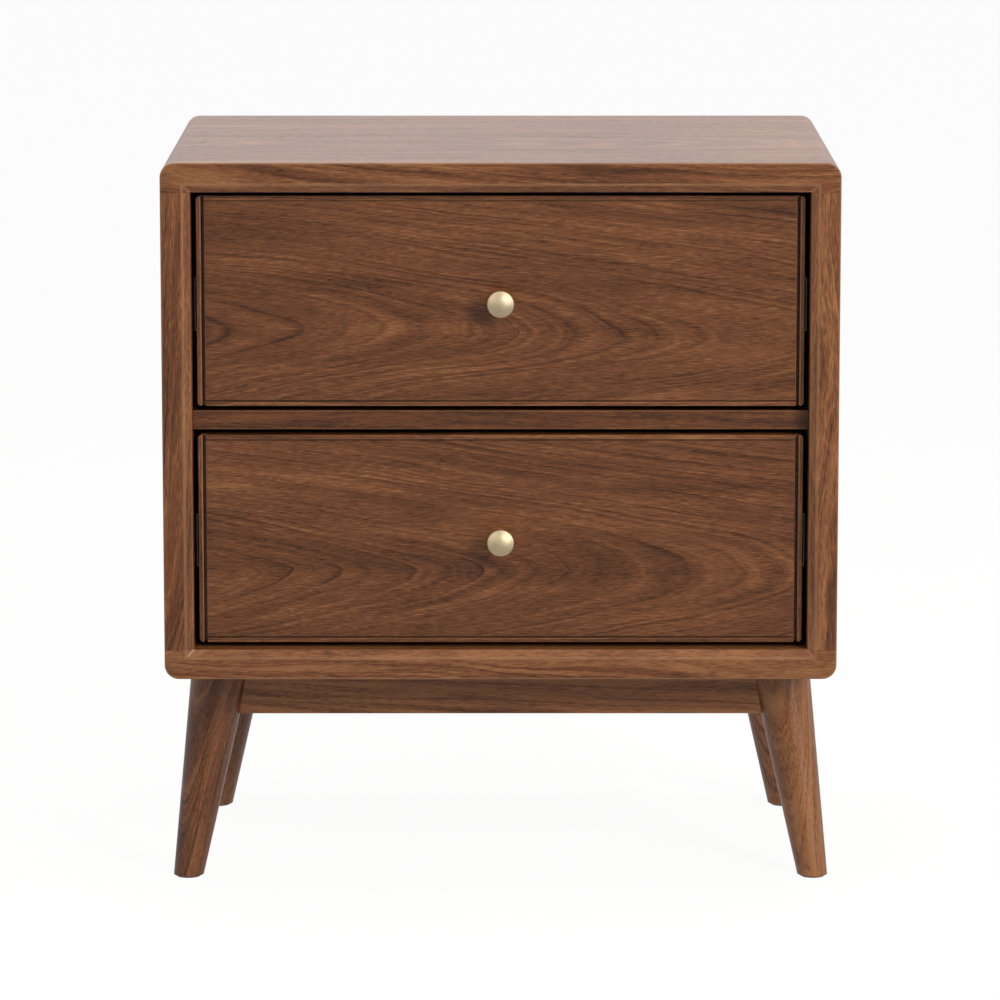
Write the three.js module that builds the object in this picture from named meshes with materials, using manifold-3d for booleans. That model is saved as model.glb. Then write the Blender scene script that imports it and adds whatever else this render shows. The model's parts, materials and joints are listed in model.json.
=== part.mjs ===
// A two-drawer walnut nightstand: a round-cornered case with a bevelled mouth, two inset drawers on
// full-extension slides, and a base of four splayed, tapered legs joined by aprons.
// Millimetres, +Z up, the drawers open towards -Y. The origin is on the floor under the middle.

import * as THREE from 'three';
import { ConvexGeometry } from 'three/addons/geometries/ConvexGeometry.js';
import { mergeVertices } from 'three/addons/utils/BufferGeometryUtils.js';
import Module from 'manifold-3d';

// ---- Driving sizes ----

// Case
const caseWidth = 560;
const caseDepth = 400;
const caseHeight = 432;
const floorToCase = 183;
const panelThickness = 24.5;
const caseCornerRadius = 12;
const mouthBevelWidth = 6.5;
const mouthBevelDepth = 4;
const backThickness = 6;
const backInset = 2;
const backRebate = 8;
const dividerThickness = 16;
const dividerDepth = 60;
const dividerSetback = 18.5;

// Drawer fronts
const frontSetback = 15;
const frontThickness = 18;
const frontSideGap = 4;
const frontEndGap = 4.25;
const sideLipWidth = 4.2;
const endLipWidth = 3.5;
const lipCornerRadius = 3;
const sideGrooveWidth = 2.6;
const sideGrooveDepth = 7;
const endGrooveWidth = 1.5;
const endGrooveDepth = 2.5;

// Drawer boxes
const boxWall = 12;
const boxLift = 15;
const boxDrop = 30;
const boxRearRoom = 29;
const boxBottomThickness = 6;
const boxBottomLift = 10;
const boxGrooveDepth = 6;

// Slides, bought in lengths that go up in steps
const slideThickness = 12.7;
const slideHeight = 45;
const slideLengthStep = 50;
const slideSetback = 20;
const slideSteel = 1.2;
const slideBallGap = 3;
const slideFlange = 8;

// Knobs and their screws
const knobDiameter = 22.5;
const knobProjection = 25;
const knobBaseDiameter = 13;
const knobNeckDiameter = 9;
const knobHeadThickness = 9;
const knobDomeRise = 3.6;
const knobRimRadius = 1.4;
const screwDiameter = 4;
const screwHeadDiameter = 8.5;
const screwHeadHeight = 2.6;
const screwGrip = 9;

// Base
const footDiameter = 25;
const legTopDiameter = 50.5;
const legSplayX = 29;
const legSplayY = 26;
const frontFootX = 265.5;
const rearFootX = 254;
const footSetback = 63.5;
const apronHeight = 45;
const apronThickness = 20;
const cornerBlockSide = 58;
const cornerBlockHeight = 28;
const glideDiameter = 21;
const glideThickness = 1.5;
const glidePinDiameter = 3;
const glidePinLength = 12;

// Clearances
const glueLine = 0.1;
const cutGap = 0.3;
const grooveGap = 0.25;
const overrun = 5;

// How finely round shapes are cut
const legSides = 48;
const knobSides = 48;
const pinSides = 16;
const cornerSteps = 8;

// ---- Places worked out from them ----

const knobProud = Math.max(0, knobProjection - frontSetback);
const caseFront = -(caseDepth - knobProud) / 2;
const caseRear = caseFront + caseDepth;
const caseBottom = floorToCase;
const caseTop = caseBottom + caseHeight;
const halfCase = caseWidth / 2;
const halfOpening = halfCase - panelThickness;
const openingBottom = caseBottom + panelThickness;
const openingTop = caseTop - panelThickness;
const bayHeight = (openingTop - openingBottom - dividerThickness) / 2;
const frontFace = caseFront + frontSetback;
const frontHeight = bayHeight - 2 * frontEndGap;
const halfFront = halfOpening - frontSideGap;
const boxFront = frontFace + frontThickness + glueLine;
const boxRear = caseRear - backInset - backThickness - boxRearRoom;
const halfBox = halfOpening - slideThickness - 2 * glueLine;
const slideFront = boxFront + slideSetback;
const slideLength = Math.floor((boxRear - slideFront) / slideLengthStep) * slideLengthStep;
const bays = [
  { name: 'upper', floor: openingBottom + bayHeight + dividerThickness },
  { name: 'lower', floor: openingBottom },
];

// ---- Finishes ----

const finish = (color, roughness, metalness) => () => (
  new THREE.MeshStandardMaterial({ color, roughness, metalness })
);
const walnut = finish(0x74492f, 0.5, 0);
const walnutVeneer = finish(0x6a4530, 0.5, 0);
const birchPly = finish(0xc9a878, 0.6, 0);
const brass = finish(0xb7a27c, 0.35, 1);
const zincSteel = finish(0xb4b8ba, 0.4, 1);
const blackNylon = finish(0x1c1a19, 0.6, 0);

// ---- Solids ----

const wasm = await Module();
wasm.setup();

function toSolid(geometry) {
  const bare = geometry.clone();
  bare.deleteAttribute('normal');
  bare.deleteAttribute('uv');
  const welded = mergeVertices(bare);
  const vertProperties = new Float32Array(welded.attributes.position.array);
  const triVerts = new Uint32Array(welded.index.array);
  return new wasm.Manifold(new wasm.Mesh({ numProp: 3, vertProperties, triVerts }));
}

function toGeometry(solid) {
  const { vertProperties, triVerts } = solid.getMesh();
  const geometry = new THREE.BufferGeometry();
  geometry.setAttribute('position', new THREE.BufferAttribute(vertProperties, 3));
  geometry.setIndex(new THREE.BufferAttribute(triVerts, 1));
  geometry.computeVertexNormals();
  return geometry;
}

function cut(geometry, ...tools) {
  const solid = tools.reduce((left, tool) => left.subtract(toSolid(tool)), toSolid(geometry));
  return toGeometry(solid);
}

function keepInside(geometry, region) {
  return toGeometry(toSolid(geometry).intersect(toSolid(region)));
}

function named(name, geometry, material) {
  const mesh = new THREE.Mesh(geometry, material());
  mesh.name = name;
  return mesh;
}

// A square-edged board between two corners.
function board([x0, x1], [y0, y1], [z0, z1]) {
  const geometry = new THREE.BoxGeometry(x1 - x0, y1 - y0, z1 - z0);
  geometry.translate((x0 + x1) / 2, (y0 + y1) / 2, (z0 + z1) / 2);
  return geometry;
}

// An outline drawn in X and Z, carried along Y from y0 to y1.
function alongY(outline, y0, y1, curveSegments = cornerSteps) {
  const geometry = new THREE.ExtrudeGeometry(outline, {
    depth: y1 - y0,
    bevelEnabled: false,
    curveSegments,
  });
  geometry.rotateX(Math.PI / 2);
  geometry.translate(0, y1, 0);
  return geometry;
}

// A profile of radius and height turned about an axis that starts at base and points along direction.
function turned(profile, sides, base, direction) {
  const geometry = new THREE.LatheGeometry(profile, sides);
  const turn = new THREE.Quaternion().setFromUnitVectors(new THREE.Vector3(0, 1, 0), direction);
  geometry.applyQuaternion(turn);
  geometry.translate(base.x, base.y, base.z);
  return geometry;
}

// A plain round bar on that axis.
function roundBar(radius, start, end, sides, base, direction) {
  const profile = [
    new THREE.Vector2(0, start),
    new THREE.Vector2(radius, start),
    new THREE.Vector2(radius, end),
    new THREE.Vector2(0, end),
  ];
  return turned(profile, sides, base, direction);
}

// ---- Case ----

// The bevel round the case's mouth, as the wedge-sided block that cuts it.
function mouthCutter() {
  const slope = mouthBevelWidth / mouthBevelDepth;
  const corners = [];
  for (const depth of [-overrun, mouthBevelDepth]) {
    const flare = (mouthBevelDepth - depth) * slope;
    for (const side of [-1, 1]) {
      const x = side * (halfOpening + flare);
      corners.push(new THREE.Vector3(x, caseFront + depth, openingBottom - flare));
      corners.push(new THREE.Vector3(x, caseFront + depth, openingTop + flare));
    }
  }
  return new ConvexGeometry(corners);
}

// The rebate round the case's rear mouth, which the back panel drops into.
function backRebateCutter() {
  return board(
    [-halfOpening - backRebate, halfOpening + backRebate],
    [caseRear - backInset - backThickness - glueLine, caseRear + overrun],
    [openingBottom - backRebate, openingTop + backRebate],
  );
}

function casePanel(name, geometry) {
  return named(name, cut(geometry, mouthCutter(), backRebateCutter()), walnut);
}

// The top and bottom run the full width and carry the case's rounded corners.
function topPanel() {
  const outline = new THREE.Shape();
  const centreX = halfCase - caseCornerRadius;
  const centreZ = caseTop - caseCornerRadius;
  outline.moveTo(-halfCase, openingTop);
  outline.lineTo(halfCase, openingTop);
  outline.absarc(centreX, centreZ, caseCornerRadius, 0, Math.PI / 2);
  outline.absarc(-centreX, centreZ, caseCornerRadius, Math.PI / 2, Math.PI);
  return casePanel('top_panel', alongY(outline, caseFront, caseRear));
}

function bottomPanel() {
  const outline = new THREE.Shape();
  const centreX = halfCase - caseCornerRadius;
  const centreZ = caseBottom + caseCornerRadius;
  outline.moveTo(halfCase, openingBottom);
  outline.lineTo(-halfCase, openingBottom);
  outline.absarc(-centreX, centreZ, caseCornerRadius, Math.PI, Math.PI * 1.5);
  outline.absarc(centreX, centreZ, caseCornerRadius, Math.PI * 1.5, Math.PI * 2);
  return casePanel('bottom_panel', alongY(outline, caseFront, caseRear));
}

function sidePanel(name, side) {
  const across = [side * halfOpening, side * halfCase].sort((a, b) => a - b);
  const upright = [openingBottom + glueLine, openingTop - glueLine];
  return casePanel(name, board(across, [caseFront, caseRear], upright));
}

function backPanel() {
  const halfBack = halfOpening + backRebate - cutGap;
  const panel = board(
    [-halfBack, halfBack],
    [caseRear - backInset - backThickness, caseRear - backInset],
    [openingBottom - backRebate + cutGap, openingTop + backRebate - cutGap],
  );
  return named('back_panel', panel, walnutVeneer);
}

// The rail between the two drawers, glued between the sides.
function dividerRail() {
  const low = openingBottom + bayHeight;
  const rail = board(
    [-halfOpening + glueLine, halfOpening - glueLine],
    [caseFront + dividerSetback, caseFront + dividerSetback + dividerDepth],
    [low, low + dividerThickness],
  );
  return named('divider_rail', rail, walnut);
}

function caseShell() {
  return [
    topPanel(),
    bottomPanel(),
    sidePanel('left_side_panel', -1),
    sidePanel('right_side_panel', 1),
    backPanel(),
    dividerRail(),
  ];
}

// ---- Drawer fronts ----

// The two deep grooves that set the side lips off from the panel.
function sideGrooveCutter(side, low, high) {
  const outer = side * (halfFront - sideLipWidth + glueLine / 2);
  const inner = side * (halfFront - sideLipWidth - sideGrooveWidth);
  const across = [outer, inner].sort((a, b) => a - b);
  return board(across, [frontFace - overrun, frontFace + sideGrooveDepth], [low - overrun, high + overrun]);
}

// The finer groove between the panel and its top or bottom lip, cut into the panel's edge.
function endGrooveCutter(z0, z1) {
  return board([-halfFront, halfFront], [frontFace - overrun, frontFace + endGrooveDepth], [z0, z1]);
}

function knobHole(knobHeight, from, to) {
  const base = new THREE.Vector3(0, 0, knobHeight);
  const radius = screwDiameter / 2 + cutGap;
  return roundBar(radius, from - overrun, to + overrun, pinSides, base, new THREE.Vector3(0, 1, 0));
}

function frontPanel(prefix, low, high) {
  const halfPanel = halfFront - sideLipWidth - glueLine;
  const bottomEdge = low + endLipWidth + glueLine;
  const topEdge = high - endLipWidth - glueLine;
  const rear = frontFace + frontThickness;
  const panel = cut(
    board([-halfPanel, halfPanel], [frontFace, rear], [bottomEdge, topEdge]),
    sideGrooveCutter(-1, low, high),
    sideGrooveCutter(1, low, high),
    endGrooveCutter(bottomEdge - overrun, bottomEdge + endGrooveWidth),
    endGrooveCutter(topEdge - endGrooveWidth, topEdge + overrun),
    knobHole((low + high) / 2, frontFace, rear),
  );
  return named(`${prefix}_front_panel`, panel, walnutVeneer);
}

// A lip glued to the panel's end grain, with its two outer corners rounded over.
function sideLip(prefix, word, side, low, high) {
  const inner = side * (halfFront - sideLipWidth);
  const centre = side * (halfFront - lipCornerRadius);
  const leftward = side < 0;
  const outward = leftward ? Math.PI : 0;
  const outline = new THREE.Shape();
  outline.moveTo(inner, high);
  outline.lineTo(inner, low);
  outline.absarc(centre, low + lipCornerRadius, lipCornerRadius, Math.PI * 1.5, outward, leftward);
  outline.absarc(centre, high - lipCornerRadius, lipCornerRadius, outward, Math.PI / 2, leftward);
  const lip = alongY(outline, frontFace, frontFace + frontThickness, cornerSteps / 2);
  return named(`${prefix}_${word}_lip`, lip, walnut);
}

function endLip(prefix, word, z0, z1) {
  const halfPanel = halfFront - sideLipWidth - glueLine;
  const lip = cut(
    board([-halfPanel, halfPanel], [frontFace, frontFace + frontThickness], [z0, z1]),
    sideGrooveCutter(-1, z0, z1),
    sideGrooveCutter(1, z0, z1),
  );
  return named(`${prefix}_${word}_lip`, lip, walnut);
}

function drawerFront(prefix, low) {
  const high = low + frontHeight;
  return [
    frontPanel(prefix, low, high),
    sideLip(prefix, 'left', -1, low, high),
    sideLip(prefix, 'right', 1, low, high),
    endLip(prefix, 'top', high - endLipWidth, high),
    endLip(prefix, 'bottom', low, low + endLipWidth),
  ];
}

// ---- Drawer boxes ----

// The groove round the inside of a box, which holds the box's bottom.
function boxGrooveCutter(low) {
  const inset = boxWall - boxGrooveDepth;
  return board(
    [-halfBox + inset, halfBox - inset],
    [boxFront + inset, boxRear - inset],
    [low + boxBottomLift - grooveGap, low + boxBottomLift + boxBottomThickness + grooveGap],
  );
}

function boxWallBoard(name, across, along, low, high, ...holes) {
  const wall = cut(board(across, along, [low, high]), boxGrooveCutter(low), ...holes);
  return named(name, wall, birchPly);
}

function boxBottom(prefix, low) {
  const inset = boxWall - boxGrooveDepth + grooveGap;
  const sheet = board(
    [-halfBox + inset, halfBox - inset],
    [boxFront + inset, boxRear - inset],
    [low + boxBottomLift, low + boxBottomLift + boxBottomThickness],
  );
  return named(`${prefix}_box_bottom`, sheet, birchPly);
}

function drawerBox(prefix, frontLow) {
  const low = frontLow + boxLift;
  const high = frontLow + frontHeight - boxDrop;
  const between = [-halfBox + boxWall + glueLine, halfBox - boxWall - glueLine];
  const knobHeight = frontLow + frontHeight / 2;
  const full = [boxFront, boxRear];
  return [
    boxWallBoard(`${prefix}_box_left_side`, [-halfBox, -halfBox + boxWall], full, low, high),
    boxWallBoard(`${prefix}_box_right_side`, [halfBox - boxWall, halfBox], full, low, high),
    boxWallBoard(
      `${prefix}_box_front`,
      between,
      [boxFront, boxFront + boxWall],
      low,
      high,
      knobHole(knobHeight, boxFront, boxFront + boxWall),
    ),
    boxWallBoard(`${prefix}_box_back`, between, [boxRear - boxWall, boxRear], low, high),
    boxBottom(prefix, low),
  ];
}

// ---- Knobs ----

// A trumpet neck under a shallow dome, bored from behind for its screw.
function knob(prefix, knobHeight) {
  const boreRadius = screwDiameter / 2 + cutGap;
  const boreEnd = screwGrip + cutGap;
  const headRadius = knobDiameter / 2;
  const height = knobProjection - glueLine;
  const headBack = height - knobHeadThickness;
  const rimFront = height - knobDomeRise;
  const profile = new THREE.Path();
  profile.moveTo(0, boreEnd);
  profile.lineTo(boreRadius, boreEnd);
  profile.lineTo(boreRadius, 0);
  profile.lineTo(knobBaseDiameter / 2, 0);
  profile.quadraticCurveTo(knobNeckDiameter / 2, headBack / 8, knobNeckDiameter / 2, headBack / 2);
  profile.quadraticCurveTo(knobNeckDiameter / 2, headBack, headRadius, (headBack + rimFront) / 2);
  profile.lineTo(headRadius, rimFront - knobRimRadius);
  profile.quadraticCurveTo(headRadius, rimFront, headRadius - knobRimRadius, rimFront + knobRimRadius / 3);
  profile.quadraticCurveTo(headRadius / 2, height, 0, height);
  const base = new THREE.Vector3(0, frontFace - glueLine, knobHeight);
  const geometry = turned(profile.getPoints(cornerSteps), knobSides, base, new THREE.Vector3(0, -1, 0));
  return named(`${prefix}_knob`, geometry, brass);
}

// The screw runs forwards from inside the box into the knob.
function knobScrew(prefix, knobHeight) {
  const shank = boxWall + frontThickness + 2 * glueLine + screwGrip;
  const underHead = boxFront + boxWall + glueLine;
  const profile = [
    new THREE.Vector2(0, -screwHeadHeight),
    new THREE.Vector2(screwHeadDiameter / 2 - screwHeadHeight / 3, -screwHeadHeight),
    new THREE.Vector2(screwHeadDiameter / 2, -screwHeadHeight / 2),
    new THREE.Vector2(screwHeadDiameter / 2, 0),
    new THREE.Vector2(screwDiameter / 2, 0),
    new THREE.Vector2(screwDiameter / 2, shank),
    new THREE.Vector2(0, shank),
  ];
  const base = new THREE.Vector3(0, underHead, knobHeight);
  const geometry = turned(profile, pinSides, base, new THREE.Vector3(0, -1, 0));
  return named(`${prefix}_knob_screw`, geometry, zincSteel);
}

// ---- Slides ----

// A rolled steel channel lying on its side: its web at webX, its flanges reaching to edgeX.
function channel(name, webX, edgeX, height, centreZ, y0) {
  const toEdge = Math.sign(edgeX - webX);
  const half = height / 2;
  const inside = webX + toEdge * slideSteel;
  const outline = new THREE.Shape();
  outline.moveTo(webX, -half);
  outline.lineTo(edgeX, -half);
  outline.lineTo(edgeX, slideSteel - half);
  outline.lineTo(inside, slideSteel - half);
  outline.lineTo(inside, half - slideSteel);
  outline.lineTo(edgeX, half - slideSteel);
  outline.lineTo(edgeX, half);
  outline.lineTo(webX, half);
  const geometry = alongY(outline, y0, y0 + slideLength);
  geometry.translate(0, 0, centreZ);
  return named(name, geometry, zincSteel);
}

// Three nested members: one on the case, one between, and one on the drawer.
function slide(prefix, word, side, centreZ) {
  const wallFace = side * (halfOpening - glueLine);
  const inward = (distance) => wallFace - side * distance;
  const nest = 2 * (slideSteel + slideBallGap);
  const middleWeb = slideBallGap;
  const middleEdge = slideThickness - slideSteel - cutGap;
  const drawerEdge = middleWeb + 2 * slideSteel + cutGap;
  const name = `${prefix}_${word}_slide`;
  return [
    channel(`${name}_case_member`, inward(0), inward(slideFlange), slideHeight, centreZ, slideFront),
    channel(
      `${name}_middle_member`,
      inward(middleWeb),
      inward(middleEdge),
      slideHeight - nest,
      centreZ,
      slideFront,
    ),
    channel(
      `${name}_drawer_member`,
      inward(slideThickness),
      inward(drawerEdge),
      slideHeight - 2 * nest,
      centreZ,
      slideFront,
    ),
  ];
}

function drawer(bay) {
  const prefix = `${bay.name}_drawer`;
  const frontLow = bay.floor + frontEndGap;
  const knobHeight = frontLow + frontHeight / 2;
  const slideCentre = frontLow + (boxLift + frontHeight - boxDrop) / 2;
  return [
    ...drawerFront(prefix, frontLow),
    ...drawerBox(prefix, frontLow),
    knob(prefix, knobHeight),
    knobScrew(prefix, knobHeight),
    ...slide(prefix, 'left', -1, slideCentre),
    ...slide(prefix, 'right', 1, slideCentre),
  ];
}

// ---- Base ----

// Where each leg stands, and which way it leans.
const legs = [
  { name: 'front_left', side: -1, end: -1 },
  { name: 'front_right', side: 1, end: -1 },
  { name: 'rear_left', side: -1, end: 1 },
  { name: 'rear_right', side: 1, end: 1 },
];

// The middle of a leg at a height above the floor.
function legCentre({ side, end }, height) {
  const footX = end < 0 ? frontFootX : rearFootX;
  const footY = end < 0 ? caseFront + footSetback : caseRear - footSetback;
  const share = height / floorToCase;
  return new THREE.Vector3(
    side * (footX - legSplayX * share),
    footY - end * legSplayY * share,
    height,
  );
}

// The whole tapered leg, run past both ends, with its surface grown outwards by extra.
function legCone(leg, extra = 0) {
  const foot = legCentre(leg, 0);
  const top = legCentre(leg, floorToCase);
  const length = foot.distanceTo(top);
  const direction = top.clone().sub(foot).normalize();
  const taper = (legTopDiameter - footDiameter) / 2 / length;
  const reach = legTopDiameter / 2;
  const radiusAt = (distance) => footDiameter / 2 + taper * distance + extra;
  const profile = [
    new THREE.Vector2(0, -reach),
    new THREE.Vector2(radiusAt(-reach), -reach),
    new THREE.Vector2(radiusAt(length + reach), length + reach),
    new THREE.Vector2(0, length + reach),
  ];
  return turned(profile, legSides, foot, direction);
}

function legTurning(leg) {
  const foot = legCentre(leg, glideThickness);
  const top = legCentre(leg, floorToCase);
  const reach = legTopDiameter;
  const slab = board(
    [Math.min(foot.x, top.x) - reach, Math.max(foot.x, top.x) + reach],
    [Math.min(foot.y, top.y) - reach, Math.max(foot.y, top.y) + reach],
    [glideThickness + glueLine, floorToCase - glueLine],
  );
  const pinHole = roundBar(
    glidePinDiameter / 2 + cutGap,
    -overrun,
    glidePinLength + cutGap,
    pinSides,
    foot,
    new THREE.Vector3(0, 0, 1),
  );
  return named(`${leg.name}_leg`, cut(keepInside(legCone(leg), slab), pinHole), walnut);
}

// A nylon pad with its pin driven up into the foot.
function glide(leg) {
  const radius = glideDiameter / 2;
  const softEdge = glideThickness / 3;
  const profile = [
    new THREE.Vector2(0, 0),
    new THREE.Vector2(radius - softEdge, 0),
    new THREE.Vector2(radius, softEdge),
    new THREE.Vector2(radius, glideThickness),
    new THREE.Vector2(glidePinDiameter / 2, glideThickness),
    new THREE.Vector2(glidePinDiameter / 2, glideThickness + glidePinLength),
    new THREE.Vector2(0, glideThickness + glidePinLength),
  ];
  const base = legCentre(leg, glideThickness).setZ(0);
  const geometry = turned(profile, legSides / 2, base, new THREE.Vector3(0, 0, 1));
  return named(`${leg.name}_glide`, geometry, blackNylon);
}

const apronTop = floorToCase - glueLine;
const apronBottom = floorToCase - apronHeight;
const apronMiddle = floorToCase - apronHeight / 2;

// The line that an end apron follows, halfway through the legs it joins.
function endApronY(end) {
  return legCentre({ side: 1, end }, apronMiddle).y;
}

// The side aprons run straight, halfway between the front and rear legs' own lines.
const sideApronX = (legCentre(legs[1], apronMiddle).x + legCentre(legs[3], apronMiddle).x) / 2;

function fitToLegs(name, geometry) {
  return named(name, cut(geometry, ...legs.map((leg) => legCone(leg, cutGap))), walnut);
}

function endApron(name, end) {
  const reach = legCentre({ side: 1, end }, apronMiddle).x;
  const middle = endApronY(end);
  const rail = board(
    [-reach, reach],
    [middle - apronThickness / 2, middle + apronThickness / 2],
    [apronBottom, apronTop],
  );
  return fitToLegs(name, rail);
}

function sideApron(name, side) {
  const middle = side * sideApronX;
  const inset = apronThickness / 2 + glueLine;
  const rail = board(
    [middle - apronThickness / 2, middle + apronThickness / 2],
    [endApronY(-1) + inset, endApronY(1) - inset],
    [apronBottom, apronTop],
  );
  return fitToLegs(name, rail);
}

// A three-cornered block glued into the angle between two aprons, round the back of the leg.
function cornerBlock(leg) {
  const { side, end } = leg;
  const x = side * (sideApronX - apronThickness / 2 - glueLine);
  const y = endApronY(end) - end * (apronThickness / 2 + glueLine);
  const corners = [];
  for (const z of [floorToCase - cornerBlockHeight, apronTop]) {
    corners.push(new THREE.Vector3(x, y, z));
    corners.push(new THREE.Vector3(x - side * cornerBlockSide, y, z));
    corners.push(new THREE.Vector3(x, y - end * cornerBlockSide, z));
  }
  return fitToLegs(`${leg.name}_corner_block`, new ConvexGeometry(corners));
}

function base() {
  return [
    ...legs.map(legTurning),
    ...legs.map(glide),
    endApron('front_apron', -1),
    endApron('rear_apron', 1),
    sideApron('left_apron', -1),
    sideApron('right_apron', 1),
    ...legs.map(cornerBlock),
  ];
}

// ---- The whole nightstand ----

const nightstand = new THREE.Group();
nightstand.add(...caseShell(), ...bays.flatMap(drawer), ...base());

export default nightstand;
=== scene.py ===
"""A walnut nightstand with two drawers, brass knobs and splayed legs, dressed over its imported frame."""

import json
import math

import bmesh
import bpy
from bpy.props import FloatProperty, FloatVectorProperty, IntProperty, PointerProperty
from mathutils import Matrix, Vector


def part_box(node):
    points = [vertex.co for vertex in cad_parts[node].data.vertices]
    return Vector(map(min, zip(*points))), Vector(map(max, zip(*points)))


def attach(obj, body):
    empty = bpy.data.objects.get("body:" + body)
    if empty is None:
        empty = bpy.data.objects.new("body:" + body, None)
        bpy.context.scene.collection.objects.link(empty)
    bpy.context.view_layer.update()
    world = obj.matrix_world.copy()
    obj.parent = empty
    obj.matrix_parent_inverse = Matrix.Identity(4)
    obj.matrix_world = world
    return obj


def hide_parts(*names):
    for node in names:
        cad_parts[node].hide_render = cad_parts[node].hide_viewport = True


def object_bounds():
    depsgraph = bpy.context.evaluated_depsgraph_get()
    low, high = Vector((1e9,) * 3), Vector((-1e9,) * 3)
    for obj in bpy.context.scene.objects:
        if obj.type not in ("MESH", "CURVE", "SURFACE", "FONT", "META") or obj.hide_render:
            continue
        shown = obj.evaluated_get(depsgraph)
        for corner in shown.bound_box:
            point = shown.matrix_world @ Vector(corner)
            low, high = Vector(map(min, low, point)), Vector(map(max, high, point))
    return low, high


bl_info = {
    "name": "Two-drawer nightstand",
    "version": (1, 0, 0),
    "blender": (4, 5, 0),
    "location": "View3D > Sidebar > Nightstand",
    "description": "Makes the boards, drawers, hardware and stage of a walnut nightstand",
    "category": "Object",
}

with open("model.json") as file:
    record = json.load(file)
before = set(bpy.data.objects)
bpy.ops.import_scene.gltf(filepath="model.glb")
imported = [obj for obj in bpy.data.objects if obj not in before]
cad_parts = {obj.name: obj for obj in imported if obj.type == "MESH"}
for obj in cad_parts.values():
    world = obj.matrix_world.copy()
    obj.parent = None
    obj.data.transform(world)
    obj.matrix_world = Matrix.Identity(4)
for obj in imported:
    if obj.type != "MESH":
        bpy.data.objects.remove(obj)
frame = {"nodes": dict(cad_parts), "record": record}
CAD_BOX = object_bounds()
MM = 0.001
IN_MM = (1000,) * 3
X, Y, Z = Vector((1, 0, 0)), Vector((0, 1, 0)), Vector((0, 0, 1))
BODY_OF = {node: body for body, nodes in frame["record"]["behaviour"]["bodies"].items() for node in nodes}

# How near two points are merged, and how near a point must lie to a height or a face to be on it.
MERGE = 0.002 * MM
NEAR = 0.05 * MM
FOOT_NEAR = 0.1 * MM
GLUE_NEAR = 0.25 * MM

# Triangles that meet at less than this angle are one face.
FLAT_DEGREES = 0.6

# Radii on small turned parts, and how much a screw's socket narrows on its way in.
KNOB_BASE_EASE = 0.4 * MM
SCREW_EASE = 0.3 * MM
SOCKET_TAPER = 0.1 * MM

# A row of balls lies in this share of its slide's middle member, and stops this far short of the end.
RACE_SHARE = 0.45
RACE_END = 4 * MM

# A ball's radius, and its cage's width, thickness and edge radius, as shares of the gap between two members.
BALL_RADIUS = 0.46
CAGE_WIDTH = 1.5
CAGE_THICKNESS = 0.18
CAGE_EASE = 0.07


def linear(hex_colour):
    """An sRGB hex colour as linear red, green and blue."""
    parts = [int(hex_colour[i:i + 2], 16) / 255 for i in (1, 3, 5)]
    return tuple(c / 12.92 if c <= 0.04045 else ((c + 0.055) / 1.055) ** 2.4 for c in parts)


# ---- Settings ----


def length(name, description, millimetres):
    """A length that the panel shows, given in millimetres."""
    return FloatProperty(name=name, description=description, default=millimetres * MM, unit="LENGTH")


def colour(name, description, hex_colour):
    """A colour that the panel shows, given as an sRGB hex value."""
    return FloatVectorProperty(
        name=name, description=description, default=linear(hex_colour), subtype="COLOR", min=0, max=1
    )


class NightstandSizes(bpy.types.PropertyGroup):
    case_ease: length("Case edge", "Radius sanded on the edges of the case", 1.3)
    panel_ease: length("Panel edge", "Radius on the edges of the drawer front's veneered panel", 0.7)
    lip_ease: length("Lip edge", "Radius on the thin lips round a drawer front", 0.9)
    board_ease: length("Board edge", "Radius on hidden boards", 0.6)
    foot_ease: length("Foot edge", "Radius turned on the bottom of each leg", 2.2)
    steel_ease: length("Steel edge", "Radius on the rolled edges of the slides", 0.35)
    socket_rim: length("Socket rim", "Width of the rim round a screw's socket", 1.3)
    socket_depth: length("Socket depth", "Depth of a screw's socket", 1.2)
    slide_steel: length("Slide steel", "Thickness of the slides' rolled steel", 1.2)
    ball_pitch: length("Ball pitch", "From one bearing ball to the next", 9)
    knob_neck: length("Knob neck", "Narrowest diameter of a knob's neck", 9)
    knob_base: length("Knob base", "Diameter of a knob's foot against the drawer", 13)
    knob_head: length("Knob head", "Thickness of a knob's head", 9)
    knob_dome: length("Knob dome", "Rise of a knob's domed face", 3.4)
    knob_rim: length("Knob rim", "Radius between a knob's dome and its side", 1.3)
    knob_steps: IntProperty(name="Knob steps", description="Steps round a knob", default=96, min=24)


class NightstandColours(bpy.types.PropertyGroup):
    walnut_dark: colour("Walnut dark", "Late wood and pores", "#371b0a")
    walnut_low: colour("Walnut low", "Dark streaks", "#57331a")
    walnut_mid: colour("Walnut middle", "Body of the heartwood", "#754628")
    walnut_high: colour("Walnut high", "Light streaks", "#9d6a42")
    walnut_red: colour("Walnut red", "Reddish streaks", "#7a4126")
    # Paler edge colour: partly rubbed wood, partly a painted highlight along the arrises.
    walnut_worn_highlight: colour("Walnut edge", "Paler wood on rubbed edges", "#a87a55")
    birch_face: colour("Birch face", "Face veneer of the drawer boxes", "#dfc397")
    birch_core: colour("Birch core", "Darker plies seen on edges", "#9c7446")
    brass: colour("Brass", "Satin brass of the knobs", "#dcc8a2")
    zinc: colour("Zinc", "Plated steel of slides and screws", "#b9bdc0")
    nylon: colour("Nylon", "Glides under the feet", "#171514")
    floor: colour("Floor", "Pale studio floor", "#f4f4f3")


class NightstandStage(bpy.types.PropertyGroup):
    lens: length("Lens", "Focal length of the camera", 194.5)
    distance: length("Distance", "From the case's front to the camera", 4415)
    height: length("Height", "Camera height above the floor", 1087)
    aim: length("Aim", "Height on the case's front that the camera looks at", 334.7)
    sideways: length("Sideways", "Camera position to the left of the middle", 3)


def settings():
    """The sizes set in the panel."""
    return bpy.context.scene.nightstand_sizes


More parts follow.
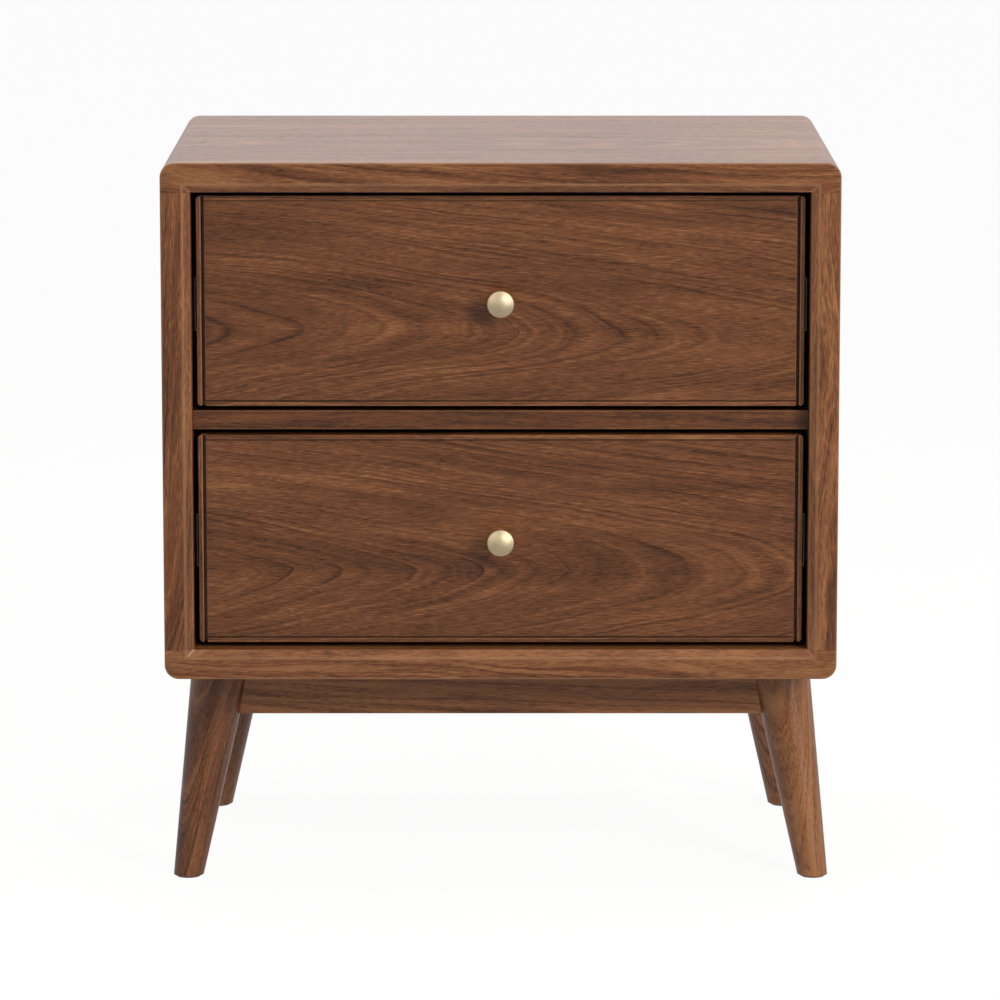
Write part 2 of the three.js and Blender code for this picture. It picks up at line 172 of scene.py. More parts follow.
def palette():
    """The colours set in the panel."""
    return bpy.context.scene.nightstand_colours


# ---- Materials ----

LACQUER_IOR = 1.45
NYLON_IOR = 1.53

# Where walnut lies between its darkest and lightest tone, and how far an eased edge fades to its paler
# colour, which is partly rubbed wear and partly a painted highlight on the arris.
WALNUT_LEVEL = 0.52
EDGE_WEAR_AND_HIGHLIGHT = 0.36

# The thickness of one ply in millimetres.
PLY_THICKNESS = 1.5

# Tarnished brass, dull spangles of zinc and scuffed nylon, as shares of their clean colours.
TARNISHED = 0.72
DULL_SPANGLE = 0.7
SCUFFED = 3


def add(tree, kind, inputs=None, stops=None, **properties):
    """Adds one node, sets its properties and ramp stops, and fills its inputs from values or other nodes."""
    node = tree.nodes.new(kind)
    for name, value in properties.items():
        setattr(node, name, value)
    for key, value in (inputs or {}).items():
        if isinstance(value, bpy.types.Node):
            value = value.outputs[0]
        if isinstance(value, bpy.types.NodeSocket):
            tree.links.new(value, node.inputs[key])
        else:
            node.inputs[key].default_value = value
    if stops:
        elements = node.color_ramp.elements
        while len(elements) < len(stops):
            elements.new(0.5)
        for element, (position, value) in zip(elements, stops):
            element.position = position
            element.color = (*value, 1) if isinstance(value, tuple) else (value, value, value, 1)
    return node


def scaled(tone, share):
    """A colour made lighter or darker, with full alpha."""
    return (*(share * c for c in tone), 1)


def new_material(name):
    """A new material with its tree and surface, or one that is already made, with None for both."""
    material = bpy.data.materials.get(name)
    if material:
        return material, None, None
    material = bpy.data.materials.new(name)
    material.use_nodes = True
    tree = material.node_tree
    tree.nodes.clear()
    surface = add(tree, "ShaderNodeBsdfPrincipled")
    add(tree, "ShaderNodeOutputMaterial", {"Surface": surface})
    return material, tree, surface


def stretched_noise(tree, place, grain_mm, detail=2.0, roughness=0.5):
    """Noise whose features measure grain_mm along, across and through the log."""
    grains = add(
        tree,
        "ShaderNodeVectorMath",
        {0: place, 1: tuple(1 / size for size in grain_mm)},
        operation="MULTIPLY",
    )
    return add(
        tree,
        "ShaderNodeTexNoise",
        {"Vector": grains, "Scale": 1.0, "Detail": detail, "Roughness": roughness},
    )


WALNUT_CUTS = {
    # name: ring width in mm, taper of the log, strength of the rings, streaks, bands of tone and redness
    "walnut_solid_satin_lacquer": (4.2, 0.02, 0.95, 1.25, 0.9, 0.45),
    "walnut_veneer_satin_lacquer": (5.0, 0.12, 0.95, 0.7, 0.85, 0.12),
}


def satin_walnut(name="walnut_solid_satin_lacquer"):
    """Black walnut, sanded and sprayed with satin lacquer: deep brown with darker growth lines, fine streaks
    and short dark pores, and a soft shine that turns pale at a low angle. Every board carries its place in
    the log, so the figure runs along it, arches on crown-cut faces and shows its rings on end grain."""
    material, tree, surface = new_material(name)
    if tree is None:
        return material
    ring_width, taper, ring_strength, streak_strength, band_strength, red_strength = WALNUT_CUTS[name]
    tones = palette()
    log = add(tree, "ShaderNodeAttribute", attribute_name="grain").outputs["Vector"]
    place = add(tree, "ShaderNodeVectorMath", {0: log, 1: IN_MM}, operation="MULTIPLY")

    # The rings wander slowly along the trunk, and ripple over shorter lengths.
    warped = place
    for grain_mm, reach_mm, detail in (
        ((300, 90, 90), 20, 1.0),
        ((80, 22, 22), 3.4, 1.0),
        ((22, 5, 5), 0.8, 1.0),
    ):
        drift = add(
            tree,
            "ShaderNodeVectorMath",
            {0: stretched_noise(tree, place, grain_mm, detail).outputs["Color"], 1: (0.5,) * 3},
            operation="SUBTRACT",
        )
        warped = add(
            tree,
            "ShaderNodeVectorMath",
            {0: drift, 1: (0, reach_mm, reach_mm), 2: warped},
            operation="MULTIPLY_ADD",
        )
    flat = add(tree, "ShaderNodeVectorMath", {0: warped, 1: (0, 1, 1)}, operation="MULTIPLY")
    distance = add(tree, "ShaderNodeVectorMath", {0: flat}, operation="LENGTH").outputs["Value"]
    along = add(tree, "ShaderNodeSeparateXYZ", {0: place})
    radius = add(tree, "ShaderNodeMath", {0: along, 1: taper, 2: distance}, operation="MULTIPLY_ADD")

    # Growth varies from year to year, and late wood darkens slowly and then stops short.
    growth = add(
        tree, "ShaderNodeTexNoise", {"W": radius, "Scale": 0.045, "Detail": 2.0}, noise_dimensions="1D"
    )
    uneven = add(tree, "ShaderNodeMath", {0: growth, 1: 26.0, 2: radius}, operation="MULTIPLY_ADD")
    years = add(tree, "ShaderNodeMath", {0: uneven, 1: ring_width}, operation="DIVIDE")
    phase = add(tree, "ShaderNodeMath", {0: years}, operation="FRACT")
    year = add(tree, "ShaderNodeMath", {0: years}, operation="FLOOR")
    strength = add(tree, "ShaderNodeTexWhiteNoise", {"W": year}, noise_dimensions="1D").outputs["Value"]
    late_wood = add(
        tree,
        "ShaderNodeValToRGB",
        {"Fac": phase},
        stops=[(0.0, 0.4), (0.05, 0.0), (0.55, 0.05), (0.82, 0.35), (0.95, 1.0), (1.0, 0.4)],
    )
    patches = stretched_noise(tree, place, (110, 14, 14), 2.0)
    faded = add(
        tree, "ShaderNodeMapRange", {"Value": patches, "From Min": 0.35, "From Max": 0.65, "To Min": 0.2}
    )
    ringed = add(tree, "ShaderNodeMath", {0: late_wood, 1: strength}, operation="MULTIPLY")
    rings = add(tree, "ShaderNodeMath", {0: ringed, 1: faded}, operation="MULTIPLY")

    # Fibres and pores are a fifth of a millimetre across: they are drawn three times as coarse, to show.
    contour = add(tree, "ShaderNodeCombineXYZ", {0: along, 1: uneven})
    streaks = stretched_noise(tree, contour, (170, 2.6, 1), 4.0, 0.66)
    fibre = stretched_noise(tree, warped, (13, 0.6, 0.6), 2.0, 0.7)
    bands = stretched_noise(tree, warped, (300, 22, 22), 2.0)
    pore_noise = stretched_noise(tree, warped, (8, 0.55, 0.55), 0.0)
    crowding = add(tree, "ShaderNodeMath", {0: streaks, 1: -0.3, 2: pore_noise}, operation="MULTIPLY_ADD")
    pores = add(tree, "ShaderNodeMapRange", {"Value": crowding, "From Min": 0.46, "From Max": 0.62})
    flecks = add(tree, "ShaderNodeMapRange", {"Value": crowding, "From Min": 0.27, "From Max": 0.12})

    # A board's tone lightens or darkens it whole; on the front apron, the legs and the right side panel it
    # is partly painted light.
    level = add(tree, "ShaderNodeAttribute", attribute_name="tone").outputs["Fac"]
    level = add(tree, "ShaderNodeMath", {0: level, 1: WALNUT_LEVEL}, operation="ADD")
    for source, centre, gain in (
        (bands, 0.5, 0.75 * band_strength),
        (streaks, 0.5, 1.25 * streak_strength),
        (fibre, 0.5, 1.15),
        (rings, 0.12, -0.62 * ring_strength),
        (pores, 0.1, -0.3),
        (flecks, 0.1, 0.18),
    ):
        shifted = add(tree, "ShaderNodeMath", {0: source, 1: centre}, operation="SUBTRACT")
        level = add(tree, "ShaderNodeMath", {0: shifted, 1: gain, 2: level}, operation="MULTIPLY_ADD")
    brown = add(
        tree,
        "ShaderNodeValToRGB",
        {"Fac": level},
        stops=[
            (0.0, tuple(tones.walnut_dark)),
            (0.3, tuple(tones.walnut_low)),
            (0.6, tuple(tones.walnut_mid)),
            (1.0, tuple(tones.walnut_high)),
        ],
    )
    hue = stretched_noise(tree, warped, (150, 7, 7), 2.0)
    redness = add(
        tree, "ShaderNodeMapRange", {"Value": hue, "From Min": 0.5, "From Max": 0.8, "To Max": red_strength}
    )
    tinted = add(
        tree,
        "ShaderNodeMix",
        {0: redness.outputs[0], 6: brown.outputs[0], 7: (*tones.walnut_red, 1)},
        data_type="RGBA",
    )
    # Eased edges are painted paler: partly rubbed wear and partly a painted highlight where the arris
    # catches the light.
    worn = add(tree, "ShaderNodeAttribute", attribute_name="wear_and_highlight").outputs["Fac"]
    rubbed_and_highlit = add(tree, "ShaderNodeMath", {0: worn, 1: EDGE_WEAR_AND_HIGHLIGHT}, operation="MULTIPLY")
    final = add(
        tree,
        "ShaderNodeMix",
        {0: rubbed_and_highlit.outputs[0], 6: tinted.outputs[2], 7: (*tones.walnut_worn_highlight, 1)},
        data_type="RGBA",
    )
    tree.links.new(final.outputs[2], surface.inputs["Base Color"])

    # The lacquer lies evenly, sinks a little into the pores and is rubbed shinier along the edges.
    shine = add(tree, "ShaderNodeMath", {0: pores, 1: 0.14, 2: 0.27}, operation="MULTIPLY_ADD")
    shine = add(tree, "ShaderNodeMath", {0: fibre, 1: 0.10, 2: shine}, operation="MULTIPLY_ADD")
    shine = add(tree, "ShaderNodeMath", {0: worn, 1: -0.06, 2: shine}, operation="MULTIPLY_ADD")
    tree.links.new(shine.outputs[0], surface.inputs["Roughness"])
    depth = add(tree, "ShaderNodeMath", {0: pores, 1: -1.0, 2: fibre}, operation="MULTIPLY_ADD")
    bump = add(tree, "ShaderNodeBump", {"Height": depth, "Strength": 0.2, "Distance": 0.0001})
    tree.links.new(bump.outputs[0], surface.inputs["Normal"])
    surface.inputs["IOR"].default_value = LACQUER_IOR
    return material


def birch_plywood():
    """Birch plywood, clear lacquered: pale rotary-cut faces, and edges with light and dark plies."""
    material, tree, surface = new_material("birch_plywood")
    if tree is None:
        return material
    tones = palette()
    sheet = add(tree, "ShaderNodeAttribute", attribute_name="grain").outputs["Vector"]
    place = add(tree, "ShaderNodeVectorMath", {0: sheet, 1: IN_MM}, operation="MULTIPLY")
    figure = stretched_noise(tree, place, (140, 14, 1.4), 3.0, 0.6)
    flecks = stretched_noise(tree, place, (5, 0.7, 0.7), 1.0)
    through = add(tree, "ShaderNodeSeparateXYZ", {0: place}).outputs[2]
    plies = add(tree, "ShaderNodeMath", {0: through, 1: PLY_THICKNESS}, operation="PINGPONG")
    band = add(
        tree,
        "ShaderNodeMapRange",
        {"Value": plies, "From Min": 0.45 * PLY_THICKNESS, "From Max": 0.6 * PLY_THICKNESS, "To Max": 0.8},
    )
    streak = add(
        tree, "ShaderNodeMapRange", {"Value": figure, "From Min": 0.35, "From Max": 0.75, "To Max": 0.35}
    )
    shade = add(tree, "ShaderNodeMath", {0: band, 1: streak}, operation="MAXIMUM")
    fleck = add(
        tree, "ShaderNodeMapRange", {"Value": flecks, "From Min": 0.62, "From Max": 0.75, "To Max": 0.2}
    )
    shade = add(tree, "ShaderNodeMath", {0: shade, 1: fleck}, operation="ADD", use_clamp=True)
    mixed = add(
        tree,
        "ShaderNodeMix",
        {0: shade.outputs[0], 6: (*tones.birch_face, 1), 7: (*tones.birch_core, 1)},
        data_type="RGBA",
    )
    tree.links.new(mixed.outputs[2], surface.inputs["Base Color"])
    shine = add(tree, "ShaderNodeMath", {0: figure, 1: 0.2, 2: 0.38}, operation="MULTIPLY_ADD")
    tree.links.new(shine.outputs[0], surface.inputs["Roughness"])
    bump = add(tree, "ShaderNodeBump", {"Height": figure, "Strength": 0.2, "Distance": 0.0001})
    tree.links.new(bump.outputs[0], surface.inputs["Normal"])
    return material


def satin_brass():
    """Brass turned and brushed to a satin, under clear lacquer: a soft glow with faint turning rings."""
    material, tree, surface = new_material("satin_brass")
    if tree is None:
        return material
    tones = palette()
    # Clouds of tarnish are 4 mm across. The brushed grain is finer than 0.1 mm: it is drawn at 0.3, to show.
    place = add(tree, "ShaderNodeTexCoord").outputs["Object"]
    cloud = add(tree, "ShaderNodeTexNoise", {"Vector": place, "Scale": 260.0, "Detail": 3.0})
    fine = add(tree, "ShaderNodeTexNoise", {"Vector": place, "Scale": 3200.0, "Detail": 2.0})
    tarnish = add(
        tree, "ShaderNodeMapRange", {"Value": cloud, "From Min": 0.35, "From Max": 0.75, "To Max": 0.35}
    )
    mixed = add(
        tree,
        "ShaderNodeMix",
        {0: tarnish.outputs[0], 6: (*tones.brass, 1), 7: scaled(tones.brass, TARNISHED)},
        data_type="RGBA",
    )
    tree.links.new(mixed.outputs[2], surface.inputs["Base Color"])
    rough = add(tree, "ShaderNodeMath", {0: fine, 1: 0.14, 2: 0.39}, operation="MULTIPLY_ADD")
    tree.links.new(rough.outputs[0], surface.inputs["Roughness"])
    bump = add(tree, "ShaderNodeBump", {"Height": fine, "Strength": 0.12, "Distance": 0.00005})
    tree.links.new(bump.outputs[0], surface.inputs["Normal"])
    surface.inputs["Metallic"].default_value = 1.0
    return material


def zinc_plated_steel():
    """Rolled steel with bright zinc plating: cool grey, drawn lengthways, with a faint spangle."""
    material, tree, surface = new_material("zinc_plated_steel")
    if tree is None:
        return material
    tones = palette()
    # Drawn lines are 0.4 mm apart and 33 mm long, coarser than rolled steel's, to show; spangles are 5 mm.
    place = add(tree, "ShaderNodeTexCoord").outputs["Object"]
    drawn = add(tree, "ShaderNodeVectorMath", {0: place, 1: (2600, 30, 2600)}, operation="MULTIPLY")
    lines = add(tree, "ShaderNodeTexNoise", {"Vector": drawn, "Scale": 1.0, "Detail": 3.0})
    spangle = add(tree, "ShaderNodeTexVoronoi", {"Vector": place, "Scale": 190.0})
    tint = add(
        tree, "ShaderNodeMapRange", {"Value": spangle.outputs["Color"], "From Max": 1.0, "To Max": 0.3}
    )
    mixed = add(
        tree,
        "ShaderNodeMix",
        {0: tint.outputs[0], 6: (*tones.zinc, 1), 7: scaled(tones.zinc, DULL_SPANGLE)},
        data_type="RGBA",
    )
    tree.links.new(mixed.outputs[2], surface.inputs["Base Color"])
    rough = add(tree, "ShaderNodeMath", {0: lines, 1: 0.22, 2: 0.22}, operation="MULTIPLY_ADD")
    tree.links.new(rough.outputs[0], surface.inputs["Roughness"])
    bump = add(tree, "ShaderNodeBump", {"Height": lines, "Strength": 0.15, "Distance": 0.00005})
    tree.links.new(bump.outputs[0], surface.inputs["Normal"])
    surface.inputs["Metallic"].default_value = 1.0
    return material


def black_nylon():
    """Moulded nylon with a fine spark-eroded texture, scuffed lighter where it has slid."""
    material, tree, surface = new_material("black_nylon")
    if tree is None:
        return material
    tones = palette()
    # The moulded texture is drawn at 0.4 mm, about four times as coarse as it is, to show; scuffs are 6 mm.
    place = add(tree, "ShaderNodeTexCoord").outputs["Object"]
    grain = add(tree, "ShaderNodeTexNoise", {"Vector": place, "Scale": 2400.0, "Detail": 2.0})
    scuff = add(tree, "ShaderNodeTexNoise", {"Vector": place, "Scale": 180.0, "Detail": 4.0})
    worn = add(
        tree, "ShaderNodeMapRange", {"Value": scuff, "From Min": 0.5, "From Max": 0.75, "To Max": 0.5}
    )
    mixed = add(
        tree,
        "ShaderNodeMix",
        {0: worn.outputs[0], 6: (*tones.nylon, 1), 7: scaled(tones.nylon, SCUFFED)},
        data_type="RGBA",
    )
    tree.links.new(mixed.outputs[2], surface.inputs["Base Color"])
    rough = add(tree, "ShaderNodeMath", {0: scuff, 1: 0.25, 2: 0.45}, operation="MULTIPLY_ADD")
    tree.links.new(rough.outputs[0], surface.inputs["Roughness"])
    bump = add(tree, "ShaderNodeBump", {"Height": grain, "Strength": 0.3, "Distance": 0.0001})
    tree.links.new(bump.outputs[0], surface.inputs["Normal"])
    surface.inputs["IOR"].default_value = NYLON_IOR
    return material


# ---- Pieces ----

# Each walnut board is cut from its own stretch of one long log, so no two boards share a figure.


def clean_copy(node):
    """A CAD solid's surface with its triangles joined up into whole faces."""
    shape = bmesh.new()
    shape.from_mesh(frame["nodes"][node].data)
    bmesh.ops.remove_doubles(shape, verts=shape.verts, dist=MERGE)
    bmesh.ops.dissolve_limit(
        shape,
        angle_limit=math.radians(FLAT_DEGREES),
        verts=shape.verts,
        edges=shape.edges,
        use_dissolve_boundaries=False,
    )
    return shape


def ease(shape, radius, segments=3, sharper_than=20.0, keep=None):
    """Rounds over the shape's sharp edges, or those of them that keep allows, and marks them for the paler
    edge colour: partly rubbed wear, partly a painted highlight.
    """
    wear_and_highlight = shape.faces.layers.float.get("wear_and_highlight") or shape.faces.layers.float.new("wear_and_highlight")
    limit = math.radians(sharper_than)
    sharp = [e for e in shape.edges if e.is_manifold and e.calc_face_angle() > limit]
    if keep:
        sharp = [e for e in sharp if keep(e)]
    made = bmesh.ops.bevel(
        shape,
        geom=sharp,
        offset=radius,
        offset_type="OFFSET",
        segments=segments,
        profile=0.5,
        affect="EDGES",
        clamp_overlap=True,
        material=-1,
    )
    # The rounded faces get walnut's paler edge colour, partly wear and partly a painted highlight.
    for face in made["faces"]:
        face[wear_and_highlight] = 1.0


def lay_grain(mesh, along, across, heart, tone=0.0):
    """Stores each vertex's place in the log, and how much lighter or darker than most its board is: partly
    the board's own tone, and partly painted light on the front apron, the legs and the right side panel.
    heart is where the board's middle lies from the log's own middle: along, across and through it in mm, and
    then how far the board leans away per mm of length."""
    points = [vertex.co for vertex in mesh.vertices]
    corners = [[pick(point[axis] for point in points) for axis in range(3)] for pick in (min, max)]
    middle = (Vector(corners[0]) + Vector(corners[1])) / 2
    through = along.cross(across)
    offset = Vector(heart[:3]) * MM
    lean = heart[3]
    places = []
    for point in points:
        away = point - middle
        run = away.dot(along)
        depth = away.dot(through) + offset.z + lean * run
        places.extend((run + offset.x, away.dot(across) + offset.y, depth))
    attribute = mesh.attributes.new("grain", "FLOAT_VECTOR", "POINT")
    attribute.data.foreach_set("vector", places)
    attribute = mesh.attributes.new("tone", "FLOAT", "POINT")
    attribute.data.foreach_set("value", [tone] * len(points))


def place_piece(shape, name, material, node, grain=None, smooth_below=40.0):
    """Turns a finished shape into a piece that rides with its CAD node's body and stands for it."""
    mesh = bpy.data.meshes.new(name)
    shape.to_mesh(mesh)
    shape.free()
    mesh.polygons.foreach_set("use_smooth", [True] * len(mesh.polygons))
    mesh.set_sharp_from_angle(angle=math.radians(smooth_below))
    mesh.materials.append(material)
    if grain:
        lay_grain(mesh, *grain)
    piece = bpy.data.objects.new(name, mesh)
    bpy.context.scene.collection.objects.link(piece)
    even = piece.modifiers.new("even_normals", "WEIGHTED_NORMAL")
    even.keep_sharp = True
    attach(piece, BODY_OF[node])
    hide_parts(node)
    return piece


def board(node, radius, grain, material=None, segments=3, keep=None):
    """A board with eased edges and its own stretch of the log."""
    shape = clean_copy(node)
    ease(shape, radius, segments, keep=keep)
    return place_piece(shape, f"{node}_board", material or satin_walnut(), node, grain)


# ---- Operators ----


class NIGHTSTAND_OT_case(bpy.types.Operator):
    """Make the case: top, bottom, sides, back and the rail between the drawers"""

    bl_idname = "nightstand.case"
    bl_label = "Case"

    def execute(self, context):
        radius = settings().case_ease
        joints = (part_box("top_panel")[0].z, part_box("bottom_panel")[1].z)

        def free(edge):
            """The boards are glued at two heights, and stay sharp there."""
            return not any(all(abs(v.co.z - height) < GLUE_NEAR for v in edge.verts) for height in joints)

        board("top_panel", radius, (X, Y, (0, 40, 95, 0.03), 0.0), keep=free)
        board("bottom_panel", radius, (X, Y, (1300, 70, 60, -0.02), 0.1), keep=free)
        # The right side panel is set lighter than the left: partly its own tone, partly painted light from
        # the key on the right.
        board("left_side_panel", radius, (Z, Y, (2600, 25, 80, 0.08), -0.02), keep=free)
        board("right_side_panel", radius, (Z, Y, (3900, -35, 70, -0.07), 0.09), keep=free)
        board("divider_rail", settings().lip_ease, (X, Y, (5200, 110, 40, 0.01), -0.28))
        board("back_panel", settings().board_ease, (Z, X, (6500, 30, 90, 0.1)))
        return {"FINISHED"}


class NIGHTSTAND_OT_drawer_fronts(bpy.types.Operator):
    """Make the drawer fronts: crown-cut veneered panels with thin solid lips all round"""

    bl_idname = "nightstand.drawer_fronts"
    bl_label = "Drawer fronts"

    def execute(self, context):
        lip = settings().lip_ease
        panel = settings().panel_ease
        top_lip, bottom_lip, side_lip = lip / 3, lip / 2, 1.6 * lip
        veneer = satin_walnut("walnut_veneer_satin_lacquer")
        hearts = {"upper": ((7800, 25, 27, 0.01), -0.09), "lower": ((9140, 29, 30, 0.015), -0.1)}
        for number, (level, (heart, tone)) in enumerate(hearts.items()):
            drawer = f"{level}_drawer"
            start = 10400 + 2600 * number
            board(f"{drawer}_front_panel", panel, (X, Z, heart, tone), veneer)
            board(f"{drawer}_top_lip", top_lip, (X, Z, (start, 90, 40, 0.02), -0.12))
            board(f"{drawer}_bottom_lip", bottom_lip, (X, Z, (start + 600, -80, 60, 0.0), -0.08))
            board(f"{drawer}_left_lip", side_lip, (Z, X, (start + 1200, 60, 50, 0.01), -0.08), segments=4)
            board(f"{drawer}_right_lip", side_lip, (Z, X, (start + 1800, 70, -45, 0.02), -0.08), segments=4)
        return {"FINISHED"}


class NIGHTSTAND_OT_drawer_boxes(bpy.types.Operator):
    """Make the plywood drawer boxes"""

    bl_idname = "nightstand.drawer_boxes"
    bl_label = "Drawer boxes"

    def execute(self, context):
        edge = settings().board_ease
        ply = birch_plywood()
        for number, level in enumerate(("upper", "lower")):
            box = f"{level}_drawer_box"
            start = 900 * number
            board(f"{box}_left_side", edge, (Y, Z, (start, 0, 0, 0)), ply)
            board(f"{box}_right_side", edge, (Y, Z, (start + 150, 0, 0, 0)), ply)
            board(f"{box}_front", edge, (X, Z, (start + 300, 0, 0, 0)), ply)
            board(f"{box}_back", edge, (X, Z, (start + 450, 0, 0, 0)), ply)
            board(f"{box}_bottom", edge / 2, (X, Y, (start + 600, 0, 0, 0)), ply)
        return {"FINISHED"}


class NIGHTSTAND_OT_knobs(bpy.types.Operator):
    """Turn the brass knobs and their screws"""

    bl_idname = "nightstand.knobs"
    bl_label = "Knobs"

    def execute(self, context):
        for level in ("upper", "lower"):
            self.turn_knob(f"{level}_drawer_knob")
            screw = f"{level}_drawer_knob_screw"
            shape = clean_copy(screw)
            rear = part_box(screw)[1].y
            ease(shape, SCREW_EASE, 2)
            rearward = [f for f in shape.faces if f.normal.y > 0.99]
            head = [f for f in rearward if f.calc_center_median().y > rear - NEAR]
            bmesh.ops.inset_region(shape, faces=head, thickness=settings().socket_rim)
            bmesh.ops.inset_region(shape, faces=head, thickness=SOCKET_TAPER, depth=-settings().socket_depth)
            place_piece(shape, f"{screw}_head", zinc_plated_steel(), screw)
        return {"FINISHED"}

    def turn_knob(self, node):
        """A knob's outline, from its foot to the middle of its dome, spun round its axis."""
        sizes = settings()
        low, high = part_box(node)
        middle = (low + high) / 2
        reach = high.y - low.y
        head = (high.x - low.x) / 2
        neck = sizes.knob_neck / 2
        head_back = reach - sizes.knob_head
        rim_front = reach - sizes.knob_dome
        rim = sizes.knob_rim
        base = sizes.knob_base / 2
        outline = [(0, 0), (base - KNOB_BASE_EASE, 0), (base, KNOB_BASE_EASE)]
        outline += curve(outline[-1], (neck, head_back / 6), (neck, head_back / 2), 10)
        outline += curve(outline[-1], (neck, head_back), (head, (head_back + rim_front) / 2), 14)
        outline += [(head, rim_front - rim)]
        outline += curve(outline[-1], (head, rim_front), (head - rim, rim_front + rim / 3), 8)
        outline += curve(outline[-1], (head / 2, reach), (0, reach), 14)
        shape = bmesh.new()
        points = [shape.verts.new((middle.x + r, high.y - h, middle.z)) for r, h in outline]
        edges = [shape.edges.new(pair) for pair in zip(points, points[1:])]
        bmesh.ops.spin(
            shape,
            geom=points + edges,
            cent=(middle.x, 0, middle.z),
            axis=(0, 1, 0),
            angle=2 * math.pi,
            steps=sizes.knob_steps,
            use_merge=True,
        )
        bmesh.ops.remove_doubles(shape, verts=shape.verts, dist=MERGE)
        bmesh.ops.recalc_face_normals(shape, faces=shape.faces)
        place_piece(shape, f"{node}_turning", satin_brass(), node)


class NIGHTSTAND_OT_slides(bpy.types.Operator):
    """Make the steel slides that carry the drawers"""

    bl_idname = "nightstand.slides"
    bl_label = "Slides"

    def execute(self, context):
        for node in sorted(frame["nodes"]):
            if "_slide_" in node:
                shape = clean_copy(node)
                ease(shape, settings().steel_ease, 2)
                place_piece(shape, f"{node}_channel", zinc_plated_steel(), node)
            if node.endswith("_middle_member"):
                self.fill_races(node)
        return {"FINISHED"}

    def fill_races(self, middle):
        """Balls in their cages: above and below the middle channel at its rear, where it runs in the case's
        channel, and inside it at its front, where the drawer's channel runs in it."""
        outer, inner = middle.replace("middle", "case"), middle.replace("middle", "drawer")
        low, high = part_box(middle)
        reach = (high.y - low.y) * RACE_SHARE
        shape = bmesh.new()
        for around, within, start in ((outer, middle, high.y - reach), (middle, inner, low.y + RACE_END)):
            bottom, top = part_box(within)[0].z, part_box(within)[1].z
            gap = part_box(around)[1].z - settings().slide_steel - top
            left = max(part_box(around)[0].x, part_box(within)[0].x)
            right = min(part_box(around)[1].x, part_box(within)[1].x)
            for height in (top + gap / 2, bottom - gap / 2):
                self.fill_race(shape, Vector(((left + right) / 2, start, height)), reach - RACE_END, gap)
        place_piece(shape, f"{middle}_ball_races", zinc_plated_steel(), middle)

    def fill_race(self, shape, start, reach, gap):
        """One row of balls, held in a thin pressed cage."""
        pitch = settings().ball_pitch
        count = int(reach / pitch)
        for number in range(count):
            place = Matrix.Translation(start + Y * pitch * (number + 0.5))
            bmesh.ops.create_uvsphere(
                shape, u_segments=16, v_segments=10, radius=BALL_RADIUS * gap, matrix=place
            )
        size = Matrix.Diagonal((gap * CAGE_WIDTH, count * pitch, gap * CAGE_THICKNESS, 1))
        middle = Matrix.Translation(start + Y * pitch * count / 2)
        cage = bmesh.ops.create_cube(shape, size=1, matrix=middle @ size)
        edges = {edge for vert in cage["verts"] for edge in vert.link_edges}
        bmesh.ops.bevel(
            shape,
            geom=list(edges),
            offset=gap * CAGE_EASE,
            offset_type="OFFSET",
            segments=2,
            profile=0.5,
            affect="EDGES",
            clamp_overlap=True,
            material=-1,
        )


class NIGHTSTAND_OT_legs(bpy.types.Operator):
    """Make the turned legs and the glides under them"""

    bl_idname = "nightstand.legs"
    bl_label = "Legs"

    def execute(self, context):
        # These tones are partly each leg's own and partly painted light, standing in for light from below
        # the case.
        tones = {"front_left": -0.1, "front_right": 0.18, "rear_left": 0.0, "rear_right": 0.1}
        for number, (corner, tone) in enumerate(tones.items()):
            leg = f"{corner}_leg"
            shape = clean_copy(leg)
            low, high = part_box(leg)
            foot, top = ring_middle(shape, low.z), ring_middle(shape, high.z)
            radius = settings().foot_ease
            ease(shape, radius, 4, keep=lambda edge: all(v.co.z < low.z + FOOT_NEAR for v in edge.verts))
            along = (top - foot).normalized()
            across = along.cross(Y).normalized()
            grain = (along, across, (15600 + 700 * number, 48 - 9 * number, 40 + 7 * number, 0.03), tone)
            place_piece(shape, f"{leg}_turning", satin_walnut(), leg, grain)
            glide = f"{corner}_glide"
            shape = clean_copy(glide)
            place_piece(shape, f"{glide}_pad", black_nylon(), glide)
        return {"FINISHED"}


class NIGHTSTAND_OT_aprons(bpy.types.Operator):
    """Make the aprons between the legs and the blocks in their corners"""

    bl_idname = "nightstand.aprons"
    bl_label = "Aprons"

    def execute(self, context):
        edge = settings().lip_ease
        # The front apron is set lighter: partly its own tone, partly painted light standing in for light
        # from below the case.
        board("front_apron", edge, (X, Z, (19000, 95, 50, 0.02), 0.24))
        board("rear_apron", edge, (X, Z, (19700, 70, 60, -0.02)))
        board("left_apron", edge, (Y, Z, (20400, 60, 45, 0.02)))
        board("right_apron", edge, (Y, Z, (21100, 75, 55, 0.02)))
        for number, corner in enumerate(("front_left", "front_right", "rear_left", "rear_right")):
            block = f"{corner}_corner_block"
            board(block, settings().board_ease, (X, Z, (21800 + 300 * number, 50, 60, 0.0)))
        return {"FINISHED"}


def ring_middle(shape, height):
    """The middle of a shape's vertices at one height."""
    ring = [v.co for v in shape.verts if abs(v.co.z - height) < NEAR]
    return sum(ring, Vector()) / len(ring)


def curve(start, pull, end, steps):
    """Points of a quadratic curve from start to end, without its first point."""
    start, pull, end = Vector(start), Vector(pull), Vector(end)
    shares = [step / steps for step in range(1, steps + 1)]
    return [tuple(start * (1 - t) ** 2 + pull * 2 * t * (1 - t) + end * t * t) for t in shares]


# ---- Stage ----

